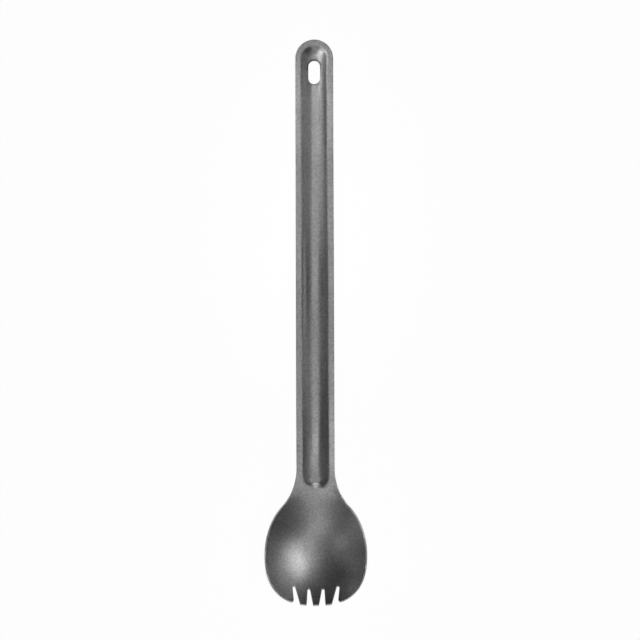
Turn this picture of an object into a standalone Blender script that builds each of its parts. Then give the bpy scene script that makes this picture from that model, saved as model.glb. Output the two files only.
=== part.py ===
"""Long-handled spork, pressed in one piece from titanium sheet.

Metres, +Z up. The spork lies on a table with its bowl open upwards: the length runs along Y,
from the tines at -Y to the rounded handle end at +Y, and the width runs along X. The origin is
on the table, under the middle of the part.

The model follows the way the real one is made. A flat blank is cut to its outline, tines and
all. A die then presses the hollow of the bowl, the channel along the handle and the gentle arch
of the whole length into it, and a punch cuts the hanging slot straight down. Heights are those
of the underside, and the sheet thickness stands on top of them.

A place along the part is called its station, and is its distance from the line of the tine tips.
"""

import math

import bmesh
import bpy
import numpy as np
from mathutils import Vector
from mathutils.geometry import delaunay_2d_cdt

MM = 0.001

# Sheet
SHEET_THICKNESS = 0.9 * MM
EDGE_ROUNDING = 0.18 * MM

# Outline of the blank
OVERALL_LENGTH = 217.5 * MM
HANDLE_WIDTH = 14.6 * MM
BOWL_WIDTH = 39.6 * MM
BOWL_WIDEST_STATION = 19.75 * MM
BOWL_BACK_LENGTH = 24.8 * MM
NECK_FLARE_RADIUS = 21.0 * MM
FRONT_CURVE_POWER = 2.3

# Tines: one on the centre line and one to each side of it, between two broad shoulders
TINE_TIP_WIDTH = 2.25 * MM
SIDE_TINE_TIP_WIDTH = 2.5 * MM
TINE_TIP_PITCH = 4.86 * MM
TINE_CORNER_RADIUS = 0.45 * MM
INNER_GAP_DEPTH = 5.93 * MM
INNER_GAP_ROOT_OFFSET = 2.81 * MM
INNER_GAP_ROOT_WIDTH = 0.95 * MM
OUTER_GAP_DEPTH = 7.05 * MM
OUTER_GAP_ROOT_OFFSET = 8.69 * MM
OUTER_GAP_ROOT_WIDTH = 1.1 * MM
SHOULDER_MOUTH_OFFSET = 8.5 * MM
SHOULDER_RADIUS = 0.8 * MM

# Hollow of the bowl
BOWL_DEPTH = 9.0 * MM
BOWL_DEEPEST_STATION = 21.45 * MM
BOWL_REACH_STATION = 46.45 * MM
BOWL_SECTION_POWER = 2.0
BOWL_FRONT_POWER = 2.3
BOWL_BACK_POWER = 1.5

# Channel along the handle
CHANNEL_WIDTH = 10.8 * MM
CHANNEL_DEPTH = 2.1 * MM
CHANNEL_FLAT_WIDTH = 1.2 * MM
CHANNEL_CREST_RADIUS = 0.4 * MM
CHANNEL_START_STATION = 45.55 * MM
CHANNEL_END_MARGIN = 1.85 * MM
CHANNEL_START_POWER = 2.3
CHANNEL_START_STEEPNESS = 1.35
CHANNEL_END_POWER = 2.0

# Hanging slot in the channel's floor
SLOT_WIDTH = 4.5 * MM
SLOT_LENGTH = 8.75 * MM
SLOT_CENTRE_MARGIN = 12.5 * MM
PUNCH_OVERRUN = 3.0 * MM

# Side view: the pitch of the length, as straight runs joined by even bends
TIP_PITCH_DEG = 3.0
NECK_PITCH_DEG = 6.0
NECK_STATION = 52.45 * MM
ARCH_START_STATION = 62.45 * MM
ARCH_END_STATION = 110.45 * MM
LANDING_BEND_STATION = 168.45 * MM
LANDING_STATION = 190.45 * MM

# Fineness of the mesh
BOWL_STEP = 1.8 * MM
HANDLE_STEP = 6.0 * MM
SLOT_STEP = 1.8 * MM
TINE_STEP = 1.3 * MM
CAP_STEP = 1.1 * MM
CLEAR_OF_LINE = 0.5 * MM
MERGE_DISTANCE = 0.001 * MM
STEP_SLACK = 0.01
ARC_STEP_DEG = 22.5
END_STEP_DEG = 9.0
FLARE_STEPS = 10
BOWL_BACK_STEPS = 14
BOWL_FRONT_STEPS = 11
BOWL_COLUMNS = 9
CHANNEL_FLOOR_STEPS = 6
CHANNEL_CREST_STEPS = 3
CAP_LEAST_STEPS = 4
PITCH_SAMPLES = 4000
BISECTIONS = 60

TITANIUM_COLOUR = (0.27, 0.27, 0.27, 1.0)
TITANIUM_ROUGHNESS = 0.5
TITANIUM_METALLIC = 0.9
SMOOTH_ANGLE_DEG = 40.0
EDGE_ANGLE_DEG = 60.0


def clear_scene():
    """Remove whatever the scene holds."""
    for obj in list(bpy.data.objects):
        bpy.data.objects.remove(obj, do_unlink=True)


def neck_geometry():
    """Where the flare's arc touches the back ellipse and the straight side of the handle.

    The flare's centre lies one radius out from the ellipse along its normal, and one radius out
    from the handle's side. Its angle on the ellipse is found by halving the interval.
    """
    a = BOWL_WIDTH / 2
    b = BOWL_BACK_LENGTH
    side = HANDLE_WIDTH / 2

    def centre(angle):
        x, y = a * math.cos(angle), b * math.sin(angle)
        nx, ny = math.cos(angle) / a, math.sin(angle) / b
        size = math.hypot(nx, ny)
        return x + NECK_FLARE_RADIUS * nx / size, y + NECK_FLARE_RADIUS * ny / size

    low, high = 0.0, math.pi / 2
    for _ in range(BISECTIONS):
        middle = (low + high) / 2
        if centre(middle)[0] > side + NECK_FLARE_RADIUS:
            low = middle
        else:
            high = middle
    cx, cy = centre(low)
    touch = (a * math.cos(low), BOWL_WIDEST_STATION + b * math.sin(low))
    return low, touch, (cx, BOWL_WIDEST_STATION + cy)


TOUCH_ANGLE, TOUCH_POINT, FLARE_CENTRE = neck_geometry()


def half_width(station):
    """Half the blank's width at each station, tines and slot not counted.

    The front is a superellipse, the back a plain ellipse, the neck a hollow arc, and the handle
    has parallel sides and a half-round end.
    """
    s = np.asarray(station, float)
    a = BOWL_WIDTH / 2
    side = HANDLE_WIDTH / 2
    forward = np.clip((BOWL_WIDEST_STATION - s) / BOWL_WIDEST_STATION, 0, 1)
    front = a * (1 - forward**FRONT_CURVE_POWER) ** (1 / FRONT_CURVE_POWER)
    backward = np.clip((s - BOWL_WIDEST_STATION) / BOWL_BACK_LENGTH, 0, 1)
    back = a * np.sqrt(1 - backward**2)
    off_centre = np.clip(FLARE_CENTRE[1] - s, 0, NECK_FLARE_RADIUS)
    flare = FLARE_CENTRE[0] - np.sqrt(NECK_FLARE_RADIUS**2 - off_centre**2)
    into_end = np.clip(s - (OVERALL_LENGTH - side), 0, side)
    end = np.sqrt(side**2 - into_end**2)
    return np.select(
        [s < BOWL_WIDEST_STATION, s < TOUCH_POINT[1], s < FLARE_CENTRE[1]],
        [front, back, flare],
        end,
    )


def front_station(offset):
    """The station of the blank's front edge at an offset from the centre line."""
    share = 1 - (offset / (BOWL_WIDTH / 2)) ** FRONT_CURVE_POWER
    return BOWL_WIDEST_STATION * (1 - share ** (1 / FRONT_CURVE_POWER))


def underside_of_flange(station):
    """Height of the flange's underside: the integral of the pitch along the part.

    The pitch goes in straight lines between its stations. How steeply the handle runs down from
    the arch is worked out so that the channel comes to lie on the table.
    """
    up = math.tan(math.radians(NECK_PITCH_DEG))
    tip = -math.tan(math.radians(TIP_PITCH_DEG))
    knots = [
        0.0,
        BOWL_DEEPEST_STATION,
        NECK_STATION,
        ARCH_START_STATION,
        ARCH_END_STATION,
        LANDING_BEND_STATION,
        LANDING_STATION,
        OVERALL_LENGTH,
    ]
    rise = [tip, 0.0, up, up, 0.0, 0.0, 0.0, 0.0]
    fall = [0.0, 0.0, 0.0, 0.0, 1.0, 1.0, 0.0, 0.0]
    fine = np.linspace(0.0, OVERALL_LENGTH, PITCH_SAMPLES)

    def height_of(pitch):
        slope = np.interp(fine, knots, pitch)
        steps = (slope[1:] + slope[:-1]) / 2 * np.diff(fine)
        height = np.concatenate([[0.0], np.cumsum(steps)])
        return height - np.interp(BOWL_DEEPEST_STATION, fine, height)

    risen, fallen = height_of(rise), height_of(fall)
    down = (BOWL_DEPTH + risen[-1] - CHANNEL_DEPTH) / fallen[-1]
    return np.interp(station, fine, BOWL_DEPTH + risen - down * fallen)


def bowl_depth(offset, station):
    """Depth of the bowl's hollow: its centre line, times a section that comes up to the edge."""
    s = np.asarray(station, float)
    forward = np.clip((BOWL_DEEPEST_STATION - s) / BOWL_DEEPEST_STATION, 0, 1)
    back_length = BOWL_REACH_STATION - BOWL_DEEPEST_STATION
    backward = np.clip((s - BOWL_DEEPEST_STATION) / back_length, 0, 1)
    along = (1 - forward**BOWL_FRONT_POWER) * (1 - backward**2) ** BOWL_BACK_POWER
    width = np.maximum(half_width(s), MERGE_DISTANCE)
    across = np.clip(np.abs(offset) / width, 0, 1)
    return BOWL_DEPTH * along * (1 - across**BOWL_SECTION_POWER)


def channel_axis():
    """The first and last station of the line that the channel's rounded ends turn about."""
    reach = CHANNEL_WIDTH / 2
    return CHANNEL_START_STATION + reach, OVERALL_LENGTH - CHANNEL_END_MARGIN - reach


def channel_arcs():
    """Reach of the channel's floor arc across the section, and the floor's outer radius.

    The section is a narrow flat, an arc up to the wall and a small crest arc out to the flange.
    """
    run = (CHANNEL_WIDTH - CHANNEL_FLAT_WIDTH) / 2
    wall_angle = 2 * math.atan2(CHANNEL_DEPTH, run)
    both_radii = run / math.sin(wall_angle)
    floor_radius = both_radii - CHANNEL_CREST_RADIUS
    return floor_radius * math.sin(wall_angle), floor_radius


def channel_depth(offset, station):
    """Depth of the channel, from the distance to its axis: round at the handle's end of it, and
    a little squarer at the bowl's end, where the wall rises faster, so that distances in from
    the crest count for more."""
    first, last = channel_axis()
    x = np.abs(np.asarray(offset, float))
    before = np.clip(first - station, 0, None)
    after = np.clip(station - last, 0, None)
    p, q = CHANNEL_START_POWER, CHANNEL_END_POWER
    near_bowl = (x**p + before**p) ** (1 / p)
    near_end = (x**q + after**q) ** (1 / q)
    distance = np.where(before > 0, near_bowl, near_end)
    share_of_end = before / np.maximum(near_bowl, MERGE_DISTANCE)
    steeper = 1 + (CHANNEL_START_STEEPNESS - 1) * share_of_end**2
    distance = CHANNEL_WIDTH / 2 - (CHANNEL_WIDTH / 2 - distance) * steeper
    arc_reach, floor_radius = channel_arcs()
    out = np.clip(distance - CHANNEL_FLAT_WIDTH / 2, 0, arc_reach)
    floor = CHANNEL_DEPTH - (floor_radius - np.sqrt(floor_radius**2 - out**2))
    in_from_flange = np.clip(CHANNEL_WIDTH / 2 - distance, 0, CHANNEL_CREST_RADIUS)
    crest = CHANNEL_CREST_RADIUS - np.sqrt(CHANNEL_CREST_RADIUS**2 - in_from_flange**2)
    on_floor = distance < CHANNEL_FLAT_WIDTH / 2 + arc_reach
    return np.where(on_floor, floor, crest)


def underside(offset, station):
    """Height of the pressed sheet's underside."""
    flange = underside_of_flange(station)
    return flange - bowl_depth(offset, station) - channel_depth(offset, station)


def arc(centre, radius, start_deg, end_deg, step_deg=ARC_STEP_DEG):
    """Points on an arc, both ends counted, a fixed angle apart or a little less."""
    steps = max(2, math.ceil(abs(end_deg - start_deg) / step_deg - STEP_SLACK))
    angles = np.radians(np.linspace(start_deg, end_deg, steps + 1))
    return [
        (centre[0] + radius * math.cos(t), centre[1] + radius * math.sin(t)) for t in angles
    ]


def rounded_corner(before, corner, after, radius):
    """The arc that rounds a corner between two straight lines, in the order of travel."""
    corner = np.array(corner)
    way_in = np.array(before) - corner
    way_out = np.array(after) - corner
    way_in = way_in / np.linalg.norm(way_in)
    way_out = way_out / np.linalg.norm(way_out)
    half_angle = math.acos(float(np.clip(way_in @ way_out, -1, 1))) / 2
    bisector = (way_in + way_out) / np.linalg.norm(way_in + way_out)
    centre = corner + bisector * radius / math.sin(half_angle)
    first = corner + way_in * radius / math.tan(half_angle) - centre
    last = corner + way_out * radius / math.tan(half_angle) - centre
    start = math.degrees(math.atan2(first[1], first[0]))
    turn = math.degrees(math.atan2(last[1], last[0])) - start
    turn = (turn + 180) % 360 - 180
    return arc(centre, radius, start, start + turn)


def subdivided(points, step):
    """The same path with no run between two points longer than the step."""
    path = [points[0]]
    for start, end in zip(points[:-1], points[1:]):
        parts = max(1, math.ceil(math.dist(start, end) / step - STEP_SLACK))
        path += [
            (
                start[0] + (end[0] - start[0]) * k / parts,
                start[1] + (end[1] - start[1]) * k / parts,
            )
            for k in range(1, parts + 1)
        ]
    return path


def even_stations(start, end, step):
    """Stations from start to end, both counted, no further apart than the step."""
    return np.linspace(start, end, max(1, math.ceil((end - start) / step)) + 1)


def handle_stations():
    """Stations along the straight part of the channel, closer together beside the slot."""
    first, last = channel_axis()
    slot_start = OVERALL_LENGTH - SLOT_CENTRE_MARGIN - SLOT_LENGTH / 2 - SLOT_STEP
    slot_start = min(max(slot_start, first), last)
    plain = even_stations(first, slot_start, HANDLE_STEP)
    return np.concatenate([plain[:-1], even_stations(slot_start, last, SLOT_STEP)])


def half_outline_of_tines():
    """From the right shoulder to the tip of the centre tine: gaps with round roots between
    tapered tines, every corner rounded."""
    side_tine_out = TINE_TIP_PITCH + SIDE_TINE_TIP_WIDTH / 2
    side_tine_in = TINE_TIP_PITCH - SIDE_TINE_TIP_WIDTH / 2
    outer_half, inner_half = OUTER_GAP_ROOT_WIDTH / 2, INNER_GAP_ROOT_WIDTH / 2
    shoulder_run = SHOULDER_MOUTH_OFFSET + 2 * SHOULDER_RADIUS
    corners = [
        (shoulder_run, front_station(shoulder_run), 0.0),
        (SHOULDER_MOUTH_OFFSET, front_station(SHOULDER_MOUTH_OFFSET), SHOULDER_RADIUS),
        (OUTER_GAP_ROOT_OFFSET + outer_half, OUTER_GAP_DEPTH, outer_half),
        (OUTER_GAP_ROOT_OFFSET - outer_half, OUTER_GAP_DEPTH, outer_half),
        (side_tine_out, front_station(side_tine_out), TINE_CORNER_RADIUS),
        (side_tine_in, front_station(side_tine_in), TINE_CORNER_RADIUS),
        (INNER_GAP_ROOT_OFFSET + inner_half, INNER_GAP_DEPTH, inner_half),
        (INNER_GAP_ROOT_OFFSET - inner_half, INNER_GAP_DEPTH, inner_half),
        (TINE_TIP_WIDTH / 2, front_station(TINE_TIP_WIDTH / 2), TINE_CORNER_RADIUS),
        (0.0, 0.0, 0.0),
    ]
    path = [corners[0][:2]]
    for before, corner, after in zip(corners[:-2], corners[1:-1], corners[2:]):
        path += rounded_corner(before[:2], corner[:2], after[:2], corner[2])
    path.append(corners[-1][:2])
    return subdivided(path, TINE_STEP)


def half_outline():
    """The right half of the outline, from the handle's end down to the centre tine's tip."""
    side = HANDLE_WIDTH / 2
    end_centre = (0.0, OVERALL_LENGTH - side)
    path = arc(end_centre, side, 90.0, 0.0, END_STEP_DEG)
    path += [
        (side, s)
        for s in handle_stations()[::-1]
        if FLARE_CENTRE[1] < s < OVERALL_LENGTH - side
    ]
    turn = math.atan2(
        FLARE_CENTRE[1] - TOUCH_POINT[1], FLARE_CENTRE[0] - TOUCH_POINT[0]
    )
    path += [
        (
            FLARE_CENTRE[0] - NECK_FLARE_RADIUS * math.cos(t),
            FLARE_CENTRE[1] - NECK_FLARE_RADIUS * math.sin(t),
        )
        for t in np.linspace(0.0, turn, FLARE_STEPS + 1)
    ]
    path += [
        (
            BOWL_WIDTH / 2 * math.cos(t),
            BOWL_WIDEST_STATION + BOWL_BACK_LENGTH * math.sin(t),
        )
        for t in np.linspace(TOUCH_ANGLE, 0.0, BOWL_BACK_STEPS + 1)
    ]
    tines = half_outline_of_tines()
    power = 2 / FRONT_CURVE_POWER
    shoulder_angle = math.acos((tines[0][0] / (BOWL_WIDTH / 2)) ** (1 / power))
    path += [
        (
            BOWL_WIDTH / 2 * math.cos(t) ** power,
            BOWL_WIDEST_STATION * (1 - math.sin(t) ** power),
        )
        for t in np.linspace(0.0, shoulder_angle, BOWL_FRONT_STEPS + 1)[1:-1]
    ]
    return path + tines


def without_repeats(path):
    """The closed path with points that lie on the one before them left out."""
    kept = []
    for point in path:
        if not kept or math.dist(point, kept[-1]) > MERGE_DISTANCE:
            kept.append(point)
    if math.dist(kept[0], kept[-1]) <= MERGE_DISTANCE:
        kept.pop()
    return kept


def whole_outline():
    """Both halves, clockwise from the handle's end as seen from above."""
    right = half_outline()
    left = [(-x, s) for x, s in right[::-1]]
    return without_repeats(right + left)


def slot_outline():
    """The hanging slot: two half circles joined by straight sides."""
    centre = OVERALL_LENGTH - SLOT_CENTRE_MARGIN
    radius = SLOT_WIDTH / 2
    run = SLOT_LENGTH / 2 - radius
    path = arc((0.0, centre + run), radius, 0.0, 180.0)
    path += arc((0.0, centre - run), radius, 180.0, 360.0)
    path.append(path[0])
    return without_repeats(subdivided(path, SLOT_WIDTH / 2))


def bowl_points():
    """Points over the bowl and the neck, in rows across them that crowd towards the edge."""
    stations = even_stations(0.0, channel_axis()[0], BOWL_STEP)
    angles = np.linspace(-math.pi / 2, math.pi / 2, 2 * BOWL_COLUMNS + 1)[1:-1]
    shares, s = np.meshgrid(np.sin(angles), stations)
    return np.column_stack([(shares * half_width(s)).ravel(), s.ravel()])


def channel_line(reach):
    """The closed line at one distance from the channel's axis: two straight sides, and a
    rounded end like the channel's own at either end."""
    first, last = channel_axis()
    steps = max(CAP_LEAST_STEPS, math.ceil(math.pi * reach / CAP_STEP))
    turns = np.linspace(0.0, math.pi, steps + 1)[1:-1]

    def rounded_end(base, way, power):
        x = np.sign(np.cos(turns)) * np.abs(np.cos(turns)) ** (2 / power)
        return list(zip(way * reach * x, base + way * reach * np.sin(turns) ** (2 / power)))

    right = [(reach, s) for s in handle_stations()]
    left = [(-reach, s) for s in handle_stations()[::-1]]
    far_end = rounded_end(last, 1, CHANNEL_END_POWER)
    near_end = rounded_end(first, -1, CHANNEL_START_POWER)
    return right + far_end + left + near_end


def channel_lines():
    """Lines round the channel at even turns of its floor and its crest, the outermost last."""
    arc_reach, floor_radius = channel_arcs()
    wall_angle = math.asin(arc_reach / floor_radius)
    floor_turns = np.sin(np.linspace(0.0, wall_angle, CHANNEL_FLOOR_STEPS + 1))
    crest_turns = np.sin(np.linspace(wall_angle, 0.0, CHANNEL_CREST_STEPS + 1)[1:])
    floor = CHANNEL_FLAT_WIDTH / 2 + floor_radius * floor_turns
    crest = CHANNEL_WIDTH / 2 - CHANNEL_CREST_RADIUS * crest_turns
    return [channel_line(reach) for reach in np.concatenate([floor, crest])]


def inside(points, loop):
    """Which points lie inside a closed loop, by how often a ray from each crosses it."""
    x, y = points[:, :1], points[:, 1:]
    x0, y0 = np.array(loop).T
    x1, y1 = np.roll(x0, -1), np.roll(y0, -1)
    spans = (y0 > y) != (y1 > y)
    rise = np.where(y1 == y0, 1.0, y1 - y0)
    crossing = x0 + (y - y0) / rise * (x1 - x0)
    return (spans & (x < crossing)).sum(axis=1) % 2 == 1


def distance_to(points, loop):
    """The distance from each point to a closed loop."""
    start = np.array(loop)
    run = np.roll(start, -1, axis=0) - start
    offset = points[:, None, :] - start
    along = (offset * run).sum(axis=2) / (run**2).sum(axis=1)
    nearest = offset - np.clip(along, 0, 1)[:, :, None] * run
    return np.linalg.norm(nearest, axis=2).min(axis=1)


def blank_triangles():
    """The flat blank as points and triangles, with its outline and the lines round the channel
    kept whole as edges of triangles."""
    outline, lines = whole_outline(), channel_lines()
    points, edges = [], []
    for path in [outline] + lines:
        first, size = len(points), len(path)
        points += path
        edges += [(first + k, first + (k + 1) % size) for k in range(size)]
    field = bowl_points()
    field = field[inside(field, outline) & ~inside(field, lines[-1])]
    for path in (outline, lines[-1]):
        field = field[distance_to(field, path) > CLEAR_OF_LINE]
    points += [tuple(p) for p in field]
    found = delaunay_2d_cdt([Vector(p) for p in points], edges, [], 0, MERGE_DISTANCE)
    flat = np.array([tuple(p) for p in found[0]])
    triangles = np.array(found[2])
    return flat, triangles[inside(flat[triangles].mean(axis=1), outline)]


def pressed_sheet():
    """The blank with every point brought to the height that the die gives it."""
    flat, triangles = blank_triangles()
    heights = underside(flat[:, 0], flat[:, 1])
    places = np.column_stack([flat[:, 0], flat[:, 1] - OVERALL_LENGTH / 2, heights])
    shape = bmesh.new()
    corners = [shape.verts.new(p) for p in places]
    for triangle in triangles:
        shape.faces.new([corners[k] for k in triangle])
    loose = [v for v in shape.verts if not v.link_faces]
    bmesh.ops.delete(shape, geom=loose, context="VERTS")
    mesh = bpy.data.meshes.new("spork")
    shape.to_mesh(mesh)
    shape.free()
    return mesh


def titanium():
    """Dull grey, bead-blasted titanium."""
    material = bpy.data.materials.new("blasted_titanium")
    material.use_nodes = True
    surface = material.node_tree.nodes["Principled BSDF"]
    surface.inputs["Base Color"].default_value = TITANIUM_COLOUR
    surface.inputs["Roughness"].default_value = TITANIUM_ROUGHNESS
    surface.inputs["Metallic"].default_value = TITANIUM_METALLIC
    return material


def add_slot_punch(collection):
    """The punch that cuts the hanging slot straight down through the channel's floor."""
    curve = bpy.data.curves.new("slot_outline", "CURVE")
    curve.dimensions = "2D"
    curve.fill_mode = "BOTH"
    curve.extrude = (CHANNEL_DEPTH + SHEET_THICKNESS) / 2 + PUNCH_OVERRUN
    spline = curve.splines.new("POLY")
    path = slot_outline()
    spline.points.add(len(path) - 1)
    for point, (x, s) in zip(spline.points, path):
        point.co = (x, s - OVERALL_LENGTH / 2, 0.0, 1.0)
    spline.use_cyclic_u = True
    guide = bpy.data.objects.new("slot_guide", curve)
    collection.objects.link(guide)
    guide.location.z = (CHANNEL_DEPTH + SHEET_THICKNESS) / 2
    bpy.context.view_layer.update()
    graph = bpy.context.evaluated_depsgraph_get()
    mesh = bpy.data.meshes.new_from_object(guide.evaluated_get(graph))
    shape = bmesh.new()
    shape.from_mesh(mesh)
    bmesh.ops.remove_doubles(shape, verts=shape.verts, dist=MERGE_DISTANCE)
    shape.to_mesh(mesh)
    shape.free()
    punch = bpy.data.objects.new("slot_punch", mesh)
    punch.matrix_world = guide.matrix_world
    collection.objects.link(punch)
    bpy.data.objects.remove(guide)
    punch.hide_render = True
    punch.display_type = "WIRE"
    return punch


def add_spork(collection, punch):
    """The spork: a pressed sheet, given its thickness, softened along its edge and punched."""
    mesh = pressed_sheet()
    mesh.materials.append(titanium())
    spork = bpy.data.objects.new("spork", mesh)
    collection.objects.link(spork)
    wall = spork.modifiers.new("sheet_thickness", "SOLIDIFY")
    wall.thickness = SHEET_THICKNESS
    wall.offset = 1.0
    wall.use_even_offset = True
    edges = spork.modifiers.new("edge_rounding", "BEVEL")
    edges.width = EDGE_ROUNDING
    edges.segments = 2
    edges.use_clamp_overlap = False
    edges.loop_slide = False
    edges.limit_method = "ANGLE"
    edges.angle_limit = math.radians(EDGE_ANGLE_DEG)
    cut = spork.modifiers.new("hanging_slot", "BOOLEAN")
    cut.operation = "DIFFERENCE"
    cut.solver = "EXACT"
    cut.object = punch
    mesh.shade_smooth()
    mesh.set_sharp_from_angle(angle=math.radians(SMOOTH_ANGLE_DEG))
    return spork


def main():
    clear_scene()
    parts = bpy.data.collections.new("long_handled_spork")
    cutters = bpy.data.collections.new("cutters")
    for collection in (parts, cutters):
        bpy.context.scene.collection.children.link(collection)
    add_spork(parts, add_slot_punch(cutters))


main()
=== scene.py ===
"""Long-handled spork in bead-blasted titanium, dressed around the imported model.

The sheet is worked out as a surface over the flat blank. A place on the blank is an offset from
the centre line and a station, which is the distance from the line of the tine tips. Grids cover
the tines, the bowl with the handle, and the handle's end round the hanging slot. Each place is
lifted to the height that the die gives it, the sheet's thickness stands square on that, or
upright beside the punched slot, and a rounded edge profile is carried along every free edge.

The studio is a white table, a list of lamps and a camera straight above.
"""

import math

import bpy
import numpy as np
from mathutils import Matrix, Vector


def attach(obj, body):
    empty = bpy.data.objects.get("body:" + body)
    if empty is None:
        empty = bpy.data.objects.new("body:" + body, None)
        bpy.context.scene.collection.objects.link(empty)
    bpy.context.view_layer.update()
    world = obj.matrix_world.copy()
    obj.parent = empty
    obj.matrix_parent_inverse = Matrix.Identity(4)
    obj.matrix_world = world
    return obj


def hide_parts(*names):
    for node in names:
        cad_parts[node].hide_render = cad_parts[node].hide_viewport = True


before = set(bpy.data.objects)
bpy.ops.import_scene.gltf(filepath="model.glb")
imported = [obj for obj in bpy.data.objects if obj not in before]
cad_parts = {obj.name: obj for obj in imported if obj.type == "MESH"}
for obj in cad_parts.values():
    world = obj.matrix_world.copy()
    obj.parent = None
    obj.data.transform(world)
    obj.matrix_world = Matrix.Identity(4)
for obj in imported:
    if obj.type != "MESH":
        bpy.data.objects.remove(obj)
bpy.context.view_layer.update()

bl_info = {
    "name": "Long-handled spork",
    "version": (1, 0, 0),
    "blender": (4, 5, 0),
    "location": "View3D > Sidebar > Spork",
    "description": "Builds a long-handled titanium spork and a small studio to show it in",
    "category": "Add Mesh",
}

MM = 0.001

# Ways of working out the form.
TINY = 0.001 * MM  # what keeps a divisor off zero
SMALL_STEP = 0.01 * MM  # to either side of a place whose slope is taken
WELD = 0.0005 * MM  # places this near to each other are one
HALVINGS = 60  # of the angle at which the neck's arc touches the bowl's back
SIDE_VIEW_SAMPLES = 8000  # along the whole length
FRONT_SAMPLES = 400  # along the bowl's front curve
EDGE_STEPS = 4  # round each quarter circle of the sheet's edge

# The slot's edge, and the shade painted along it.
SLOT_RIM = 1.0 * MM  # free edges nearer than this to the slot are its own
UPRIGHT_REACH = 1.5 * MM  # over which the thickness turns from upright to square
SLOT_SHADE_REACH = 0.35 * MM  # over which the painted shade fades beside the rounded edge
SLOT_SHADE_START = -0.5  # where the painted shade starts along the slot, whose ends are at -1 and 1

# Spans of values in the materials, and how fine each noise is.
WHOLE_SPAN = (0.0, 1.0)
NOISE_SPAN = (0.3, 0.7)
CLOUD_DETAIL, GRAIN_DETAIL, PIT_DETAIL = 4.0, 2.0, 3.0


def length(name, description, millimetres):
    """A length that a user can change, given in millimetres and kept in metres."""
    return bpy.props.FloatProperty(
        name=name,
        description=description,
        default=millimetres * MM,
        min=0.0,
        unit="LENGTH",
        precision=5,
    )


def share(name, description, value, top=10.0):
    """A plain number that a user can change."""
    return bpy.props.FloatProperty(
        name=name, description=description, default=value, min=0.0, max=top
    )


def tilt(name, description, degrees):
    """An angle that a user can change, given in degrees and kept in radians."""
    return bpy.props.FloatProperty(
        name=name, description=description, default=math.radians(degrees), subtype="ANGLE"
    )


def grey(name, description, value):
    """A colour that a user can change, grey until then."""
    return bpy.props.FloatVectorProperty(
        name=name,
        description=description,
        default=(value, value, value),
        min=0.0,
        max=1.0,
        subtype="COLOR",
    )


class SporkOutline(bpy.types.PropertyGroup):
    """The flat blank's outline, and its sheet."""

    overall: length("Length", "From the tine tips to the handle's end", 217.5)
    handle_width: length("Handle width", "Between the handle's parallel sides", 14.6)
    bowl_width: length("Bowl width", "Across the widest place of the bowl", 39.6)
    widest: length("Widest station", "Where the bowl is widest", 19.75)
    back: length("Back length", "Length of the bowl's elliptic back", 24.8)
    flare: length("Neck radius", "Radius of the hollow arcs at the neck", 21.0)
    front_power: share("Front power", "Squareness of the bowl's front", 2.49)
    sheet: length("Sheet", "Thickness of the titanium sheet", 0.9)
    edge: length("Edge radius", "Radius along the sheet's edges", 0.2)


class SporkTines(bpy.types.PropertyGroup):
    """The tines, and the gaps between them and the shoulders."""

    tip_width: length("Tip width", "Width of the middle tine at its tip", 2.25)
    side_width: length("Side tip width", "Width of the side tines at the tip", 2.5)
    tip_pitch: length("Tip pitch", "From one tine's tip to the next", 4.86)
    tip_corner: length("Tip corner", "Radius of a tine's corners", 0.45)
    inner_depth: length("Inner gap depth", "Station of the inner gaps' roots", 5.93)
    inner_offset: length("Inner gap offset", "Offset of the inner gaps' roots", 2.81)
    inner_width: length("Inner gap width", "Width of the inner gaps at the root", 0.95)
    outer_depth: length("Outer gap depth", "Station of the outer gaps' roots", 7.05)
    outer_offset: length("Outer gap offset", "Offset of the outer gaps' roots", 8.69)
    outer_width: length("Outer gap width", "Width of the outer gaps at the root", 1.1)
    shoulder: length("Shoulder offset", "Offset of the shoulder's corner", 8.5)
    shoulder_corner: length("Shoulder corner", "Radius of the shoulder's corner", 0.8)


class SporkBowl(bpy.types.PropertyGroup):
    """The bowl's hollow."""

    depth: length("Depth", "Depth of the hollow below the rim", 9.0)
    deepest: length("Deepest station", "Where the hollow is deepest", 21.45)
    reach: length("Reach", "Station at which the hollow runs out", 46.45)
    section_power: share("Section power", "Squareness of the cross section", 2.0)
    front_power: share("Front power", "How steeply the front rises", 2.3)
    back_power: share("Back power", "How gently the back runs out", 1.5)


class SporkChannel(bpy.types.PropertyGroup):
    """The channel along the handle, and the hanging slot in its floor."""

    width: length("Width", "From crest to crest", 10.8)
    depth: length("Depth", "Depth below the flange", 2.1)
    flat: length("Floor", "Width of the floor's flat strip", 1.2)
    crest: length("Crest radius", "Radius under the channel's edge", 0.4)
    start: length("Start", "Station of the end by the bowl", 45.25)
    end_margin: length("End margin", "From the channel's end to the handle's", 1.85)
    start_power: share("Start power", "Squareness of the end by the bowl", 2.45)
    start_steepness: share("Start steepness", "How much steeper the end by the bowl is", 2.0)
    slot_width: length("Slot width", "Width of the hanging slot", 4.58)
    slot_length: length("Slot length", "Length of the hanging slot", 8.95)
    slot_margin: length("Slot margin", "From the slot's middle to the end", 12.5)
    slot_edge: length("Slot edge", "Radius along the slot's edges", 0.4)


class SporkSideView(bpy.types.PropertyGroup):
    """The course of the rim and the flange, seen from the side."""

    tip_pitch: tilt("Tip pitch", "Pitch of the rim at the tines", 3.0)
    neck_pitch: tilt("Neck pitch", "Pitch of the neck", 6.0)
    neck: length("Neck", "Station where the neck's bend ends", 52.45)
    arch_start: length("Arch start", "Station where the arch starts", 62.45)
    arch_end: length("Arch end", "Station where the arch ends", 110.45)
    landing_bend: length("Landing bend", "Station where the landing bends", 168.45)
    landing: length("Landing", "Station from which the handle is level", 190.45)


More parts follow.
